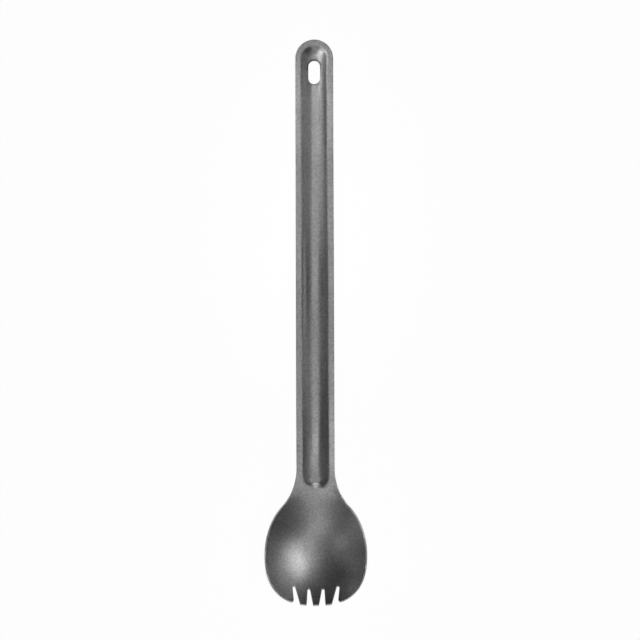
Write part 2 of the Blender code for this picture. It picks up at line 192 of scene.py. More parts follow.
class SporkFinish(bpy.types.PropertyGroup):
    """The titanium's finish."""

    colour: grey("Titanium", "Colour of the blasted titanium", 0.27)
    edge_colour: grey("Rubbed edge", "Colour of the sheet's edge where it is rubbed", 0.36)
    # Painted shade: a near black laid along the slot's rounded edge as its shade.
    slot_shade_colour: grey("Slot shade", "Colour of the shade painted on the slot's rounded edge", 0.06)
    roughness: share("Roughness", "Roughness of the blasted face", 0.48, 1.0)
    edge_roughness: share("Edge roughness", "Roughness of the rubbed edge", 0.35, 1.0)
    least_rubbed: share("Least rubbed", "How far the edge is rubbed at the least", 0.3, 1.0)
    uneven: share("Unevenness", "How much the roughness differs from place to place", 0.05, 0.5)
    cloudy: share("Clouds", "How much the colour differs from cloud to cloud", 0.04, 0.5)
    speckled: share("Speckle", "How much the colour differs from grain to grain", 0.2, 0.5)
    cloud_size: length("Cloud size", "Width of the clouds in the blast", 14.0)
    grain_size: length("Grain size", "Width of the coarser grain", 0.8)
    pit_size: length("Pit size", "Width of the pits that the beads leave", 0.35)
    pit_depth: length("Pit depth", "Depth of the pits", 0.02)
    pit_strength: share("Pit strength", "How strongly the pits show", 0.5, 1.0)


class SporkStudio(bpy.types.PropertyGroup):
    """The table, the light and the camera."""

    power: share("Lamp power", "Scales the power of all lamps", 1.0)
    air: share("Air", "Light that comes from all round", 0.0)
    table_colour: grey("Table colour", "Colour of the table under the lamps", 0.8)
    table_glow: share("Table glow", "How much of the table's white is its own", 0.98, 1.0)
    table_reach: length("Table reach", "From the middle to the table's edge", 1500.0)
    table_gap: length("Table gap", "From the table's top up to the resting spork", 0.1)
    camera_height: length("Camera height", "Of the camera over the table", 1200.0)
    view_width: length("View width", "Width of the view at the flange's height", 244.52)
    flange_height: length("Flange height", "Height at which the view's width is measured", 11.0)
    camera_x: length("Camera x", "Place of the camera across the spork", 1.9)
    camera_y: length("Camera y", "Place of the camera along the spork", 0.855)
    camera_turn: tilt("Camera turn", "Turn of the camera about its line of sight", -0.2)


GROUPS = {
    "spork_outline": SporkOutline,
    "spork_tines": SporkTines,
    "spork_bowl": SporkBowl,
    "spork_channel": SporkChannel,
    "spork_side_view": SporkSideView,
    "spork_finish": SporkFinish,
    "spork_studio": SporkStudio,
}

# Pools of light: the place that the lamps are aimed at, the pool's reach round it, and the
# lamps' distance and radius, in millimetres. A pool without a reach takes in everything.
POOLS = {
    "whole": ((0, 0, 6), None, 800, 100),
    "handle": ((0, 30, 6), 115, 500, 40),
    "low": ((0, -35, 6), 45, 500, 20),
    "middle": ((0, 20, 6), 45, 500, 20),
    "high": ((0, 70, 6), 45, 500, 20),
    "bowl": ((0, -91, 6), 34, 500, 30),
    "tip": ((0, 104, 6), 9, 300, 12),
    "crest": ((3.4, 102.5, 2.8), 3, 300, 2),
    "patch": ((0.8, 101, 2), 3, 300, 2),
    "step": ((0, -62.3, 9.4), 2.8, 300, 2),
}

# The lamps: pool, azimuth and elevation in degrees, and power in watts.
LAMPS = [
    ("whole", 145, 8, 0.45),
    ("whole", 215, 8, 0.231),
    ("whole", 270, 8, 0.645),
    ("whole", 180, 22, 0.147),
    ("whole", 270, 38, 0.545),
    ("whole", 300, 70, 0.21),
    ("whole", 0, 88, 0.345),
    ("handle", 0, 12, 0.762),
    ("bowl", 0, 48, 3.67),
    ("bowl", 25, 48, 1.23),
    ("bowl", 50, 48, 1.84),
    ("bowl", 30, 60, 1.51),
    ("bowl", 300, 60, 1.17),
    ("bowl", 200, 40, 1.17),
    ("bowl", 250, 40, 1.1),
    ("bowl", 60, 20, 0.516),
    ("tip", 220, 16, 5.28),
    ("tip", 180, 62, 3.53),
    ("low", 0, 40, 0.498),
    ("low", 270, 72, 1.23),
    ("middle", 240, 56, 5.55),
    ("middle", 300, 56, 5.05),
    ("middle", 90, 72, 0.818),
    ("high", 0, 25, 0.594),
    ("high", 180, 40, 0.898),
    ("high", 0, 56, 0.698),
    ("high", 180, 56, 1.5),
    ("high", 180, 84, 2.26),
    ("crest", 220, 50, 1.5),
    ("patch", 205, 62, 0.7),
    ("step", 90, 18, 2.4),
]


def sizes(context):
    """The groups of sizes by their short names."""
    scene = context.scene
    return {name.removeprefix("spork_"): getattr(scene, name) for name in GROUPS}


def smooth(t):
    """A share kept between nothing and one that starts and ends level: 3 t² less 2 t³."""
    t = np.clip(t, 0, 1)
    return t * t * (3 - 2 * t)


def slope(curve, at):
    """Slope of a curve, from a small step to either side."""
    return (curve(at + SMALL_STEP) - curve(at - SMALL_STEP)) / (2 * SMALL_STEP)


class Form:
    """The pressed form: heights and widths over the flat blank, from the groups of sizes."""

    def __init__(self, groups):
        self.outline = groups["outline"]
        self.tines = groups["tines"]
        self.bowl = groups["bowl"]
        self.channel = groups["channel"]
        self.side = groups["side_view"]
        self.find_neck()
        self.find_side_view()
        self.find_channel()

    def find_neck(self):
        """The flare's arc touches the back ellipse and the handle's side. Its centre is one
        radius out along the ellipse's normal, and halving finds the angle where that centre is
        also one radius out from the side."""
        o = self.outline
        a, b, side = o.bowl_width / 2, o.back, o.handle_width / 2
        low, high = 0.0, math.pi / 2
        for _ in range(HALVINGS):
            middle = (low + high) / 2
            nx, ny = math.cos(middle) / a, math.sin(middle) / b
            reach = o.flare / math.hypot(nx, ny)
            cx, cy = a * math.cos(middle) + nx * reach, b * math.sin(middle) + ny * reach
            low, high = (middle, high) if cx > side + o.flare else (low, middle)
        self.touch = o.widest + b * math.sin(low)
        self.flare_centre = (cx, o.widest + cy)

    def half_width(self, station):
        """Half the blank's width: superellipse, ellipse, hollow arc, straight side, half round."""
        o = self.outline
        s = np.asarray(station, float)
        a, side = o.bowl_width / 2, o.handle_width / 2
        forward = np.clip((o.widest - s) / o.widest, 0, 1)
        front = a * (1 - forward**o.front_power) ** (1 / o.front_power)
        back = a * np.sqrt(1 - np.clip((s - o.widest) / o.back, 0, 1) ** 2)
        off = np.clip(self.flare_centre[1] - s, 0, o.flare)
        flare = self.flare_centre[0] - np.sqrt(o.flare**2 - off**2)
        into = np.clip(s - (o.overall - side), 0, side)
        end = np.sqrt(side**2 - into**2)
        places = [s < o.widest, s < self.touch, s < self.flare_centre[1]]
        return np.select(places, [front, back, flare], end)

    def front_station(self, offset):
        """Station of the front curve at an offset, the superellipse solved for its station."""
        o = self.outline
        rest = 1 - (np.asarray(offset, float) / (o.bowl_width / 2)) ** o.front_power
        return o.widest * (1 - rest ** (1 / o.front_power))

    def find_side_view(self):
        """Height of the flange is the integral of the pitch, which goes in straight lines from
        knot to knot. The fall is scaled so that the channel comes to lie on the table."""
        o, v = self.outline, self.side
        up, tip = math.tan(v.neck_pitch), -math.tan(v.tip_pitch)
        deepest = self.bowl.deepest
        knots = [0.0, deepest, v.neck, v.arch_start, v.arch_end]
        knots += [v.landing_bend, v.landing, o.overall]
        self.fine = np.linspace(0.0, o.overall, SIDE_VIEW_SAMPLES)

        def height_of(pitch):
            """Height over the deepest station, from the pitch at each knot."""
            pitch = np.interp(self.fine, knots, pitch)
            steps = (pitch[1:] + pitch[:-1]) / 2 * np.diff(self.fine)
            height = np.concatenate([[0.0], np.cumsum(steps)])
            return height - np.interp(deepest, self.fine, height)

        risen = height_of([tip, 0.0, up, up, 0.0, 0.0, 0.0, 0.0])
        fallen = height_of([0.0, 0.0, 0.0, 0.0, 1.0, 1.0, 0.0, 0.0])
        down = (self.bowl.depth + risen[-1] - self.channel.depth) / fallen[-1]
        self.flange = self.bowl.depth + risen - down * fallen

    def find_channel(self):
        """The channel's section is a narrow flat, a floor arc and a small crest arc that meets
        it. Its axis runs from the first to the last station at which it has its whole width."""
        c = self.channel
        run = (c.width - c.flat) / 2
        self.wall_angle = 2 * math.atan2(c.depth, run)
        self.floor_radius = run / math.sin(self.wall_angle) - c.crest
        self.arc_reach = self.floor_radius * math.sin(self.wall_angle)
        self.first = c.start + c.width / 2
        self.last = self.outline.overall - c.end_margin - c.width / 2

    def bowl_depth(self, x, s):
        """Depth of the hollow: a lengthwise curve times a section that is nothing at the rim."""
        b = self.bowl
        forward = np.clip((b.deepest - s) / b.deepest, 0, 1)
        backward = np.clip((s - b.deepest) / (b.reach - b.deepest), 0, 1)
        along = (1 - forward**b.front_power) * (1 - backward**2) ** b.back_power
        across = np.clip(np.abs(x) / np.maximum(self.half_width(s), TINY), 0, 1)
        return b.depth * along * (1 - across**b.section_power)

    def channel_depth(self, x, s):
        """Depth of the channel, from the distance to its axis. Past the axis that distance is
        round at the handle's end, and a superellipse's at the end by the bowl. The wall rises
        faster there: distances in from the crest count for more, most on the centre line."""
        c = self.channel
        x = np.abs(x)
        before, after = np.clip(self.first - s, 0, None), np.clip(s - self.last, 0, None)
        p = c.start_power
        near_bowl = np.maximum((x**p + before**p) ** (1 / p), TINY)
        distance = np.where(before > 0, near_bowl, np.hypot(x, after))
        steeper = 1 + (c.start_steepness - 1) * (before / near_bowl) ** 2
        distance = c.width / 2 - (c.width / 2 - distance) * steeper
        out = np.clip(distance - c.flat / 2, 0, self.arc_reach)
        floor = c.depth - (self.floor_radius - np.sqrt(self.floor_radius**2 - out**2))
        inward = np.clip(c.width / 2 - distance, 0, c.crest)
        crest = c.crest - np.sqrt(c.crest**2 - inward**2)
        return np.where(distance < c.flat / 2 + self.arc_reach, floor, crest)

    def height(self, x, s):
        """Height of the sheet's underside."""
        flange = np.interp(s, self.fine, self.flange)
        return flange - self.bowl_depth(x, s) - self.channel_depth(x, s)

    def normal(self, x, s):
        """Upward normal of the underside, from its slopes across and along."""
        dx = slope(lambda at: self.height(at, s), x)
        ds = slope(lambda at: self.height(x, at), s)
        up = np.stack([-dx, -ds, np.ones_like(dx)], axis=-1)
        return up / np.linalg.norm(up, axis=-1, keepdims=True)

    def slot_centre(self):
        """Station of the slot's middle."""
        return self.outline.overall - self.channel.slot_margin

    def slot_distance(self, x, s):
        """Distance from the slot's edge, from its middle line less its half width."""
        c = self.channel
        run = (c.slot_length - c.slot_width) / 2
        along = np.clip(np.abs(s - self.slot_centre()) - run, 0, None)
        return np.hypot(x, along) - c.slot_width / 2

    def punch_direction(self, x, s):
        """The way the thickness stands: square to the sheet, but upright at the slot's edge,
        and there as much longer as keeps the two faces one thickness apart."""
        up = self.normal(x, s)
        near = smooth(1 - self.slot_distance(x, s) / UPRIGHT_REACH)[..., None]
        upright = np.array([0.0, 0.0, 1.0]) / up[..., 2:]
        return up + near * (upright - up)


def coons(near, far, left, right):
    """A grid of places between four edges: the sum of the two ruled surfaces less the bilinear
    one. The near and far edges run across, the left and right edges run from near to far."""
    u = np.linspace(0, 1, len(near))[None, :, None]
    v = np.linspace(0, 1, len(left))[:, None, None]
    along = (1 - v) * near[None] + v * far[None]
    across = (1 - u) * left[:, None] + u * right[:, None]
    corners = (1 - v) * ((1 - u) * near[0] + u * near[-1])
    corners = corners + v * ((1 - u) * far[0] + u * far[-1])
    return along + across - corners


def line(start, end, steps):
    """Even places on a straight line."""
    t = np.linspace(0, 1, steps + 1)[:, None]
    return (1 - t) * np.array(start) + t * np.array(end)


def circle(centre, radius, start, end, steps):
    """Even places on an arc, its angles in radians."""
    t = np.linspace(start, end, steps + 1)
    return np.array(centre) + radius * np.stack([np.cos(t), np.sin(t)], axis=1)


def corner_halves(before, corner, after, radius, back, steps):
    """The two halves of the arc that rounds a corner, set back to the left of the way along it.
    Its centre lies on the corner's bisector, and setting back changes only its radius."""
    before, corner, after = (np.array(p, float) for p in (before, corner, after))
    way_in = (before - corner) / np.linalg.norm(before - corner)
    way_out = (after - corner) / np.linalg.norm(after - corner)
    half = math.acos(float(np.clip(way_in @ way_out, -1, 1))) / 2
    bisector = (way_in + way_out) / np.linalg.norm(way_in + way_out)
    centre = corner + bisector * radius / math.sin(half)
    first = corner + way_in * radius / math.tan(half) - centre
    last = corner + way_out * radius / math.tan(half) - centre
    start = math.atan2(first[1], first[0])
    turn = math.atan2(last[1], last[0]) - start
    turn = (turn + math.pi) % (2 * math.pi) - math.pi
    radius = radius - math.copysign(back, turn)
    middle = start + turn / 2
    return (
        circle(centre, radius, start, middle, steps[0]),
        circle(centre, radius, middle, start + turn, steps[1]),
    )


def joined(*paths):
    """One path of several, where each straight part between two of them is given by its number
    of steps."""
    whole = [paths[0]]
    for k in range(1, len(paths), 2):
        steps, path = paths[k], paths[k + 1]
        whole += [line(whole[-1][-1], path[0], steps)[1:-1], path]
    return np.concatenate(whole)


class Blank:
    """Grids of places over the right half of the blank, each set back one edge radius from the
    free edges, where the rounded edge profile takes over. The comb is the front with the tines,
    up to a straight line across the bowl just past the gaps' roots."""

    # Columns across the comb and, as many in all, across the handle.
    CENTRE_TINE, GAP, SIDE_TINE, SHOULDER = 7, 7, 14, 15
    FLOOR, WALL, CREST, FLANGE = 13, 16, 10, 11
    # Rows of the comb: round half a tine's corner, along its flank, round a gap's root, and
    # from there to the comb's line.
    TIP_ARC, FLANK, ROOT_ARC, ROOT_ROWS = 3, 18, 4, 7
    SIDE_ROWS = TIP_ARC + FLANK + ROOT_ARC + ROOT_ROWS
    # Rows past the slot: up to it, round its near end, along its side, and round the far end.
    SLOT_ENTRY, SLOT_QUARTER, SLOT_SIDE, CAP = 12, 6, 16, 40
    # Rows between the comb and the slot: a mark, an offset from it, and the spacing up to
    # there, in millimetres.
    ROWS = [
        ("channel's start", -0.6, 0.5),
        ("channel's start", 0.0, 0.15),
        ("end of the crest", 0.05, 0.05),
        ("start of the axis", -1.5, 0.12),
        ("start of the axis", 2.0, 0.3),
        ("split", 0.0, 1.3),
    ]
    COMB_MARGIN = 1.6 * MM  # from the outer gaps' roots to the comb's line
    SPLIT_MARGIN = 3.6 * MM  # from the split, where the grid parts, to the slot
    GAP_SPREAD = 0.95 * MM  # half the width of a gap's columns on the comb's line
    TURN_LENGTH = 34 * MM  # over which the comb's columns turn into the handle's
    ROW_BEND = 4  # power with which a row bends towards the edge

    def __init__(self, form):
        self.form = form
        o, c = form.outline, form.channel
        self.back = o.edge
        self.comb_station = form.tines.outer_depth + self.COMB_MARGIN
        self.split_station = form.slot_centre() - c.slot_length / 2 - self.SPLIT_MARGIN
        self.slot_reach = c.slot_width / 2 + c.slot_edge
        self.wall_reach = c.flat / 2 + form.arc_reach
        self.flange_reach = o.handle_width / 2 - self.back

    def channel_lines(self):
        """Offsets of the lines along the handle: floor, wall, crest and flange."""
        marks = [0.0, self.slot_reach, self.wall_reach]
        marks += [self.form.channel.width / 2, self.flange_reach]
        counts = [self.FLOOR, self.WALL, self.CREST, self.FLANGE]
        runs = [np.linspace(a, b, n + 1)[1:] for a, b, n in zip(marks, marks[1:], counts)]
        return np.concatenate([[0.0], *runs])

    def set_back(self, station):
        """The outer edge at some stations, set back by the edge radius along its normal."""
        width = self.form.half_width(station)
        lean = slope(self.form.half_width, station)
        size = np.hypot(1, lean)
        return np.stack([width - self.back / size, station + self.back * lean / size], axis=-1)

    def rows(self):
        """Stations of the rows from the comb to the split, closest over the channel's start."""
        c = self.form.channel
        marks = {
            "channel's start": c.start,
            "end of the crest": c.start + c.crest,
            "start of the axis": self.form.first,
            "split": self.split_station,
        }
        start, rows = self.comb_station, [np.array([self.comb_station])]
        for mark, offset, spacing in self.ROWS:
            end = marks[mark] + offset * MM
            steps = max(1, math.ceil((end - start) / (spacing * MM)))
            rows.append(np.linspace(start, end, steps + 1)[1:])
            start = end
        return np.concatenate(rows)

    def comb_shares(self):
        """Shares of the half width at which the columns leave the comb."""
        t, spread = self.form.tines, self.GAP_SPREAD
        width = self.set_back(np.array([self.comb_station]))[0, 0]
        marks = [0.0, t.inner_offset - spread, t.inner_offset + spread]
        marks += [t.outer_offset - spread, t.outer_offset + spread, width]
        counts = [self.CENTRE_TINE, self.GAP, self.SIDE_TINE, self.GAP, self.SHOULDER]
        runs = [np.linspace(a, b, n + 1)[1:] for a, b, n in zip(marks, marks[1:], counts)]
        return np.concatenate([[0.0], *runs]) / width

    def body(self):
        """Rows across the sheet. Each column's share of the half width turns smoothly from the
        comb's to the handle's, and a row bends where the edge leans."""
        s = self.rows()
        edge = self.set_back(s)
        turn = smooth((s - self.comb_station) / self.TURN_LENGTH)[:, None]
        handle_shares = self.channel_lines() / self.flange_reach
        shares = (1 - turn) * self.comb_shares() + turn * handle_shares
        bend = shares**self.ROW_BEND * (edge[:, 1:] - s[:, None])
        return np.stack([shares * edge[:, :1], s[:, None] + bend], axis=2)

    def comb(self, row):
        """Grids over the tines, the roots of the gaps and the shoulder, up to the body's first
        row. Each rounded corner is halved between the two edges that meet in it."""
        t, f = self.form.tines, self.form
        half_tip, half_side = t.tip_width / 2, t.side_width / 2
        in_x, out_x = t.tip_pitch - half_side, t.tip_pitch + half_side
        inner, outer = t.inner_width / 2, t.outer_width / 2
        run = t.shoulder + 2 * t.shoulder_corner
        corners = [
            (0.0, 0.0, 0.0),
            (half_tip, f.front_station(half_tip), t.tip_corner),
            (t.inner_offset - inner, t.inner_depth, inner),
            (t.inner_offset + inner, t.inner_depth, inner),
            (in_x, f.front_station(in_x), t.tip_corner),
            (out_x, f.front_station(out_x), t.tip_corner),
            (t.outer_offset - outer, t.outer_depth, outer),
            (t.outer_offset + outer, t.outer_depth, outer),
            (t.shoulder, f.front_station(t.shoulder), t.shoulder_corner),
            (run, f.front_station(run), 0.0),
        ]
        tip, root, mid = self.TIP_ARC, self.ROOT_ARC, (self.GAP - 1) // 2
        arc_steps = [(tip, tip), (root, mid), (mid, root), (tip, tip)] * 2
        halves = [
            corner_halves(a[:2], b[:2], c[:2], b[2], self.back, steps)
            for a, b, c, steps in zip(corners, corners[1:], corners[2:], arc_steps)
        ]
        starts = [np.array([[0.0, self.back]])] + [second for _, second in halves]
        ends = [first for first, _ in halves]
        straight_steps = [self.CENTRE_TINE - tip, self.FLANK, 1, self.FLANK]
        straight_steps += [self.SIDE_TINE - 2 * tip, self.FLANK, 1, self.FLANK]
        tip_1, flank_1, root_1, flank_2, tip_2, flank_3, root_2, flank_4 = (
            joined(a, steps, b) for a, b, steps in zip(starts, ends, straight_steps)
        )
        shoulder = np.concatenate([starts[-1], self.front_edge(run, row[-1])])
        bottom, outer_side = shoulder[: self.SHOULDER + 1], shoulder[self.SHOULDER :]
        tops = np.split(row, np.cumsum([self.CENTRE_TINE, self.GAP, self.SIDE_TINE, self.GAP]))
        tops = [np.concatenate([a, b[:1]]) for a, b in zip(tops, tops[1:])] + [tops[-1]]
        roots = [root_1[0], root_1[-1], root_2[0], root_2[-1]]
        cuts = [line(top[-1], end, self.ROOT_ROWS) for top, end in zip(tops, roots)]
        flanks = [flank_1[::-1], flank_2, flank_3[::-1], flank_4]
        sides = [np.concatenate([cut, flank[1:]]) for cut, flank in zip(cuts, flanks)]
        middle = sides[0].copy()
        depth = (middle[:, 1] - middle[0, 1]) / (middle[-1, 1] - middle[0, 1])
        middle[:, 0] = 0.0
        middle[:, 1] = self.comb_station + depth * (self.back - self.comb_station)
        return [
            coons(tops[0], tip_1, middle, sides[0]),
            coons(tops[1], root_1, cuts[0], cuts[1]),
            coons(tops[2], tip_2, sides[1], sides[2]),
            coons(tops[3], root_2, cuts[2], cuts[3]),
            coons(tops[4], bottom, sides[3], outer_side[::-1]),
        ]

    def front_edge(self, run, end):
        """The set back front curve from the shoulder's corner to the body's first row, in even
        steps along its first half, the bottom, and along its second half, the side."""
        f = self.form
        x = np.linspace(run, f.half_width(self.comb_station), FRONT_SAMPLES)
        path = np.stack([x, f.front_station(x)], axis=1)
        way = np.gradient(path, axis=0, edge_order=2)
        way /= np.linalg.norm(way, axis=1, keepdims=True)
        path = path + self.back * np.stack([-way[:, 1], way[:, 0]], axis=1)
        path[-1] = end
        gone = np.concatenate([[0], np.cumsum(np.linalg.norm(np.diff(path, axis=0), axis=1))])
        whole, across = gone[-1], self.SHOULDER - self.TIP_ARC
        bottom = np.linspace(0, whole / 2, across + 1)[1:]
        side = np.linspace(whole / 2, whole, self.SIDE_ROWS + 1)[1:]
        at = np.concatenate([bottom, side])
        return np.stack([np.interp(at, gone, path[:, k]) for k in (0, 1)], axis=1)

    def slot_side(self, row):
        """Grids round the right half of the slot: one runs in to the slot's near end, the other
        passes it and goes round its far end between the slot and the handle's end."""
        f, c, o = self.form, self.form.channel, self.form.outline
        run = (c.slot_length - c.slot_width) / 2
        near_end, far_end = (0.0, f.slot_centre() - run), (0.0, f.slot_centre() + run)
        reach = self.slot_reach
        right, down, up = 0.0, -math.pi / 2, math.pi / 2
        near_arc = circle(near_end, reach, down, down / 2, self.FLOOR)
        inner_row = row[: self.FLOOR + 1]
        entry = line(inner_row[-1], near_arc[-1], self.SLOT_ENTRY)
        middle = line(inner_row[0], near_arc[0], self.SLOT_ENTRY)
        floor = coons(inner_row, near_arc, middle, entry)
        quarter = circle(near_end, reach, down / 2, right, self.SLOT_QUARTER)
        sweep = circle(far_end, reach, right, up, self.CAP)
        inner = joined(np.concatenate([entry, quarter[1:]]), self.SLOT_SIDE, sweep)
        row_counts = [self.SLOT_ENTRY, self.SLOT_QUARTER, self.SLOT_SIDE]

        def passing(offset, centre):
            """A path past the slot at an offset, and on round a centre by the handle's end."""
            marks = [self.split_station, near_arc[-1][1], near_end[1], centre]
            places = [(offset, mark) for mark in marks]
            runs = [line(a, b, n)[1:] for a, b, n in zip(places, places[1:], row_counts)]
            cap = circle((0.0, centre), offset, right, up, self.CAP)[1:]
            return np.concatenate([places[:1], *runs, cap])

        wall = passing(self.wall_reach, f.last)
        crest = passing(c.width / 2, f.last)
        edge = passing(self.flange_reach, o.overall - o.handle_width / 2)
        rings = [inner, wall, crest, edge]
        counts = [self.WALL, self.CREST, self.FLANGE]
        grid = [inner[:, None]]
        for a, b, n in zip(rings, rings[1:], counts):
            t = np.linspace(0, 1, n + 1)[1:][None, :, None]
            grid.append((1 - t) * a[:, None] + t * b[:, None])
        return [floor, np.concatenate(grid, axis=1)]

    def grids(self):
        """All grids over the blank's right half."""
        body = self.body()
        return [*self.comb(body[0]), body, *self.slot_side(body[-1])]


def quads(rows, columns):
    """Corner numbers of the cells of a grid."""
    k = np.arange(rows * columns).reshape(rows, columns)
    cells = [k[:-1, :-1], k[:-1, 1:], k[1:, 1:], k[1:, :-1]]
    return np.stack([c.ravel() for c in cells], axis=1)


def welded(grids):
    """All grids and their mirror images as places and cells, with shared places made one and
    every cell turning the same way."""
    places, cells, count = [], [], 0
    for grid in grids:
        flat = grid.reshape(-1, 2)
        faces = quads(*grid.shape[:2])
        a, b, c = flat[faces[:, 0]], flat[faces[:, 1]], flat[faces[:, 3]]
        turn = np.cross(b - a, c - a).sum()
        faces = faces if turn > 0 else faces[:, ::-1]
        for side, order in ((1, faces), (-1, faces[:, ::-1])):
            places.append(flat * [side, 1])
            cells.append(order + count)
            count += len(flat)
    places, cells = np.concatenate(places), np.concatenate(cells)
    rounded = np.round(places / WELD).astype(np.int64)
    _, first, inverse = np.unique(rounded, axis=0, return_index=True, return_inverse=True)
    cells = inverse.reshape(-1)[cells]
    keep = (cells != np.roll(cells, 1, axis=1)).all(axis=1)
    return places[first], cells[keep]


def free_edges(cells):
    """The directed edges that only one cell has."""
    edges = np.stack([cells, np.roll(cells, -1, axis=1)], axis=2).reshape(-1, 2)
    ordered = np.sort(edges, axis=1)
    _, inverse, counts = np.unique(ordered, axis=0, return_inverse=True, return_counts=True)
    return edges[counts[inverse.reshape(-1)] == 1]


def edge_profile(radius, sheet):
    """How far out and how far up the points of a free edge's profile are: a quarter circle on
    from the underside, and the same one, mirrored at half the sheet, up to the top."""
    turns = np.linspace(0, math.pi / 2, EDGE_STEPS + 1)[1:]
    lower = [(radius * math.sin(t), radius * (1 - math.cos(t))) for t in turns]
    return lower + [(out, sheet - up) for out, up in lower[::-1]]


def strips_between(here, there):
    """Cells between the points over one end of each free edge and those over its other end."""
    levels = zip(here, there, here[1:], there[1:])
    return [np.stack([a0, b0, b1, a1], axis=1) for a0, b0, a1, b1 in levels]


def pressed_sheet(form):
    """The whole sheet: its underside and top over the blank's places, and round every free edge
    a profile of a quarter circle, a straight wall and a quarter circle. With it come two shares
    for each point: how far it is on the rubbed outer edge, and how much painted shade it takes
    along the slot's edge, most towards the handle's end."""
    places, cells = welded(Blank(form).grids())
    x, s = places[:, 0], places[:, 1]
    o, c = form.outline, form.channel
    under = np.stack([x, s - o.overall / 2, form.height(x, s)], axis=1)
    up = form.punch_direction(x, s)
    edges = free_edges(cells)
    rim, after = edges[:, 0], edges[:, 1]
    count, size = len(places), len(rim)
    before, number = np.empty(count, int), np.empty(count, int)
    before[after], number[rim] = rim, np.arange(size)
    out = np.cross(under[after] - under[before[rim]], up[rim])
    out /= np.linalg.norm(out, axis=1, keepdims=True)
    by_slot = form.slot_distance(x[rim], s[rim]) < SLOT_RIM
    profile = edge_profile(np.where(by_slot, c.slot_edge, o.edge)[:, None], o.sheet)
    rings = [under[rim] + out * far + up[rim] * high for far, high in profile]

    def levels(at):
        """Numbers of the points over some of the rim's places, from the underside up."""
        between = [2 * count + k * size + number[at] for k in range(len(rings))]
        return [at, *between, at + count]

    points = np.concatenate([under, under + o.sheet * up, *rings])
    strips = strips_between(levels(rim), levels(after))
    faces = np.concatenate([cells[:, ::-1], cells + count, *strips])
    # Painted shade along the slot's rounded edge: its share grows from the bowl's side of the slot
    # to the handle's end and fades out beside the edge. The "cut" share carries it.
    along = (s - form.slot_centre()) / (c.slot_length / 2)
    shade_along_slot = smooth((along - SLOT_SHADE_START) / (1 - SLOT_SHADE_START))
    past = form.slot_distance(x, s) - c.slot_edge
    beside = shade_along_slot * np.clip(1 - past / SLOT_SHADE_REACH, 0, 1)
    rings_rubbed = np.tile(np.where(by_slot, 0.0, 1.0), len(rings))
    rings_shade_along_slot = np.tile(np.where(by_slot, shade_along_slot[rim], 0.0), len(rings))
    shares = {
        "rim": np.concatenate([np.zeros(2 * count), rings_rubbed]),
        "cut": np.concatenate([beside, beside, rings_shade_along_slot]),
    }
    return points, faces, shares


def mesh_from(name, points, faces):
    """A smooth mesh of quads from whole arrays."""
    mesh = bpy.data.meshes.new(name)
    mesh.vertices.add(len(points))
    mesh.vertices.foreach_set("co", points.ravel())
    mesh.loops.add(faces.size)
    mesh.loops.foreach_set("vertex_index", faces.ravel().astype(np.int32))
    mesh.polygons.add(len(faces))
    starts = np.arange(0, faces.size, faces.shape[1], dtype=np.int32)
    mesh.polygons.foreach_set("loop_start", starts)
    mesh.update(calc_edges=True)
    mesh.validate()
    mesh.shade_smooth()
    return mesh


def add_object(context, name, mesh):
    """A new object at the origin of the scene."""
    obj = bpy.data.objects.new(name, mesh)
    context.scene.collection.objects.link(obj)
    return obj


def add_node(tree, kind, place, **values):
    """A new shader node, with values for its sockets by their names."""
    new = tree.nodes.new(kind)
    new.location = place
    for name, value in values.items():
        new.inputs[name.replace("_", " ")].default_value = value
    return new


def noise(tree, vector, place, size, detail):
    """Noise with waves of a given width, its values nearly all within NOISE_SPAN."""
    new = add_node(tree, "ShaderNodeTexNoise", place, Scale=1 / size, Detail=detail)
    tree.links.new(vector, new.inputs["Vector"])
    return new.outputs["Fac"]


def point_share(tree, name, place):
    """One of the shares that the piece keeps for each point."""
    new = add_node(tree, "ShaderNodeAttribute", place)
    new.attribute_name = name
    return new.outputs["Fac"]


def ranged(tree, value, place, low, high, span=NOISE_SPAN):
    """A value's span taken to another."""
    ends = {"From_Min": span[0], "From_Max": span[1], "To_Min": low, "To_Max": high}
    new = add_node(tree, "ShaderNodeMapRange", place, **ends)
    tree.links.new(value, new.inputs["Value"])
    return new.outputs["Result"]


def joined_values(tree, operation, first, second, place):
    """Two values joined by an operation."""
    new = add_node(tree, "ShaderNodeMath", place)
    new.operation = operation
    tree.links.new(first, new.inputs[0])
    tree.links.new(second, new.inputs[1])
    return new.outputs["Value"]


def mixed(tree, factor, first, second, place):
    """Two colours mixed by a factor. The first may also be another node's output."""
    new = add_node(tree, "ShaderNodeMix", place)
    new.data_type = "RGBA"
    below, above = (socket for socket in new.inputs if socket.type == "RGBA")
    if isinstance(first, bpy.types.NodeSocket):
        tree.links.new(first, below)
    else:
        below.default_value = (*first, 1.0)
    above.default_value = (*second, 1.0)
    tree.links.new(factor, new.inputs[0])
    return next(socket for socket in new.outputs if socket.type == "RGBA")


